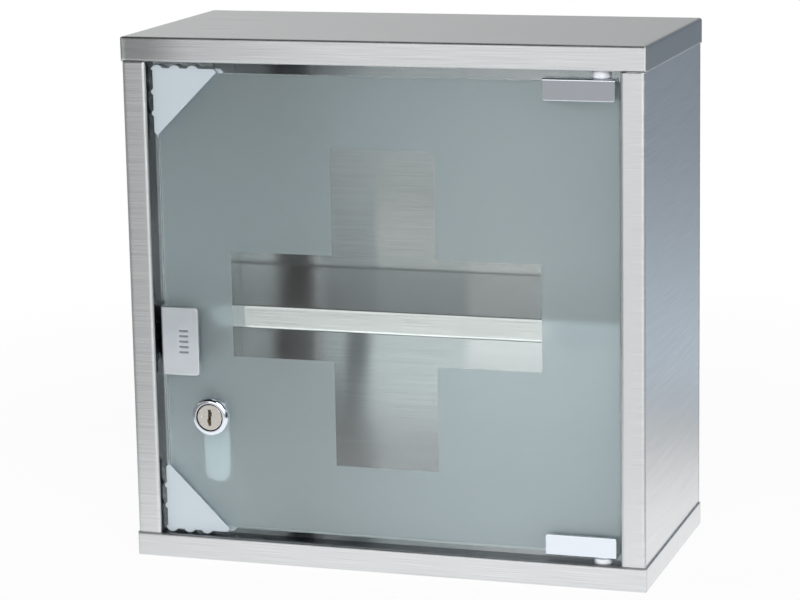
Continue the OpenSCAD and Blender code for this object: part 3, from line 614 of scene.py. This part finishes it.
door_glass, tree = blank("etched_float_glass")
x, y, z = add(tree, SPLIT, (add(tree, PLACES).outputs["Object"],)).outputs
off_x, off_z = (
    add(tree, SUM, (add(tree, SUM, (along, middle), **MINUS),), **SIZE)
    for along, middle in zip((x, z), CROSS_AT)
)
arms = []
for long_way, short_way in ((off_x, off_z), (off_z, off_x)):
    limits = [
        add(tree, RANGE, (off, reach - MASK_BLUR, reach + MASK_BLUR, 1.0, 0.0), **SOFT)
        for off, reach in ((long_way, CROSS_REACH), (short_way, CROSS_HALF_ARM))
    ]
    arms.append(add(tree, SUM, limits, **TIMES))
in_cross = add(tree, SUM, arms, **MOST)
on_rear = add(tree, SUM, (y, glass_high.y - REAR_DEPTH), **ABOVE)
outside_cross = add(tree, SUM, (1.0, in_cross), **MINUS)
etched = add(tree, SUM, (on_rear, outside_cross), **TIMES)
print("cross", 2 * CROSS_REACH / MM, "mm across, arms", 2 * CROSS_HALF_ARM / MM, "mm wide")

# %% [markdown]
# ### Glass shader
# Etching makes the face rough, so what is behind it blurs, and throws some light back, so there the
# glass is not quite all clear. Clear glass gets a trace of green and the etched face a pale blue.

# %% Glass shader
# Float glass, etched with acid behind: a clear gloss in front of a milky blur.
CLEAR_TINT, ETCHED_TINT = "#f8fbf9", "#d8e8ee"
tints = {"Factor": etched, "A": linear(CLEAR_TINT), "B": linear(ETCHED_TINT)}
glass = add(
    tree,
    "ShaderNodeBsdfPrincipled",
    {
        "Base Color": add(tree, MIX, tints, **COLOURS),
        "IOR": 1.5,
        "Roughness": add(tree, RANGE, (etched, 0.0, 1.0, 0.02, 0.6), **SOFT),
        "Transmission Weight": add(tree, RANGE, (etched, 0.0, 1.0, 1.0, 0.7), **SOFT),
    },
)
add(tree, "ShaderNodeOutputMaterial", {"Surface": glass})
print("glass", [round(v / MM, 1) for v in glass_high - glass_low], "mm")

# %% [markdown]
# ### Air gap
# Guards, pads and the lock touch the pane. Where two solids share a face, light that goes through
# the glass is trapped between them and the face turns black. Two modifiers leave a hair of air: the
# mesh's loose triangles are joined, and the faces are pulled in by 0.03 mm, which can't be seen.

# %% Air gap
AIR_GAP = 0.03 * MM
weld = nodes["door_glass"].modifiers.new("weld", "WELD")
weld.merge_threshold = 0.001 * MM
pull = nodes["door_glass"].modifiers.new("pull", "DISPLACE")
pull.strength, pull.mid_level = -AIR_GAP, 0.0
print("air gap", AIR_GAP / MM, "mm")

# %% [markdown]
# ## Plastics and rubber
# The corner guards are moulded from a milky, slightly translucent plastic, the bushes from white
# nylon and the latch from grey plastic. Moulded plastic has a plain gloss broken by very fine
# texture, and the milky ones let some light in. Glass-like transmission would make them clear, so a
# little subsurface scattering is used. The texture's grit is 0.5 mm, coarser than a real mould's,
# which is too fine to show. The kinds of plastic are the usual ones for such parts, as the
# photograph can't tell them.

# %% Plastics and rubber
GRIT, GRIT_DEPTH = 0.5 * MM, 0.02 * MM
MOULDED_EDGE = 0.5 * MM
GLOSS_SPREAD = 0.04


def moulded(name, colour, roughness, milky=0.0):
    """A moulded plastic or rubber. milky is how much light goes into it."""
    material, tree = blank(name)
    place = add(tree, PLACES).outputs["Object"]
    skin = add(tree, "ShaderNodeTexNoise", {"Vector": place, "Scale": 1 / GRIT, "Detail": 2.0})
    rounded = add(tree, "ShaderNodeBevel", {"Radius": MOULDED_EDGE})
    relief = add(
        tree,
        "ShaderNodeBump",
        {"Height": skin, "Normal": rounded, "Strength": 0.3, "Distance": GRIT_DEPTH},
    )
    least, most = roughness - GLOSS_SPREAD, roughness + GLOSS_SPREAD
    plastic = add(
        tree,
        "ShaderNodeBsdfPrincipled",
        {
            "Base Color": linear(colour),
            "Roughness": add(tree, RANGE, (skin, 0.3, 0.7, least, most), **SOFT),
            "Normal": relief,
            "Subsurface Weight": milky,
            "Subsurface Radius": (2 * MM, 2 * MM, 2 * MM),
            "Subsurface Scale": 1.0,
        },
    )
    add(tree, "ShaderNodeOutputMaterial", {"Surface": plastic})
    return material


# Moulded polyethylene without pigment: bluish white, soft gloss, light goes a little way in.
guard_plastic = moulded("milky_plastic", "#bbc5cc", 0.42, 0.15)
# Nylon as moulded: a brighter white that glows more at thin edges.
nylon = moulded("white_nylon", "#e6e9ee", 0.4, 0.3)
# Moulded ABS: an even mid grey.
latch_plastic = moulded("grey_plastic", "#5a5e62", 0.5)
# Soft vinyl sheet, cut to pads: grey and dull.
pad_rubber = moulded("grey_pad", "#8b9397", 0.7)
# Black rubber: it shows as a dark line between plate and glass.
black_rubber = moulded("black_rubber", "#26282b", 0.6)
print("plastics", [m.name for m in (guard_plastic, nylon, latch_plastic, pad_rubber, black_rubber)])

# %% [markdown]
# ## Dress the solids
# Each solid takes the finish of its real part. A list of parts for each finish is easier to check
# than a line for each part, and the last line tells whether any solid was forgotten.

# %% Dress the solids
finishes = (
    (tray_steel, "top_panel bottom_panel"),
    (side_steel, "left_side_panel right_side_panel"),
    (flat_steel, "back_panel shelf"),
    (zinc, "left_shelf_bracket right_shelf_bracket latch_screws latch_spring"),
    (zinc, "top_hinge_pin bottom_hinge_pin hinge_grub_screws"),
    (zinc, "lock_nut lock_cam cam_washer cam_screw"),
    (chrome, "top_hinge_clamp bottom_hinge_clamp lock_housing"),
    (satin_nickel, "push_plate"),
    (plug_nickel, "lock_plug"),
    (brass, "lock_wafers"),
    (magnet, "latch_magnet"),
    (door_glass, "door_glass"),
    (guard_plastic, "top_corner_guard bottom_corner_guard"),
    (nylon, "top_hinge_bush bottom_hinge_bush latch_plunger"),
    (latch_plastic, "latch_housing"),
    (pad_rubber, "top_hinge_pad bottom_hinge_pad"),
    (black_rubber, "push_plate_liner lock_gasket"),
)
dressed = []
for material, names in finishes:
    for name in names.split():
        nodes[name].data.materials.clear()
        nodes[name].data.materials.append(material)
        dressed.append(name)
print("dressed", len(dressed), "of", len(nodes), "left", sorted(set(nodes) - set(dressed)))
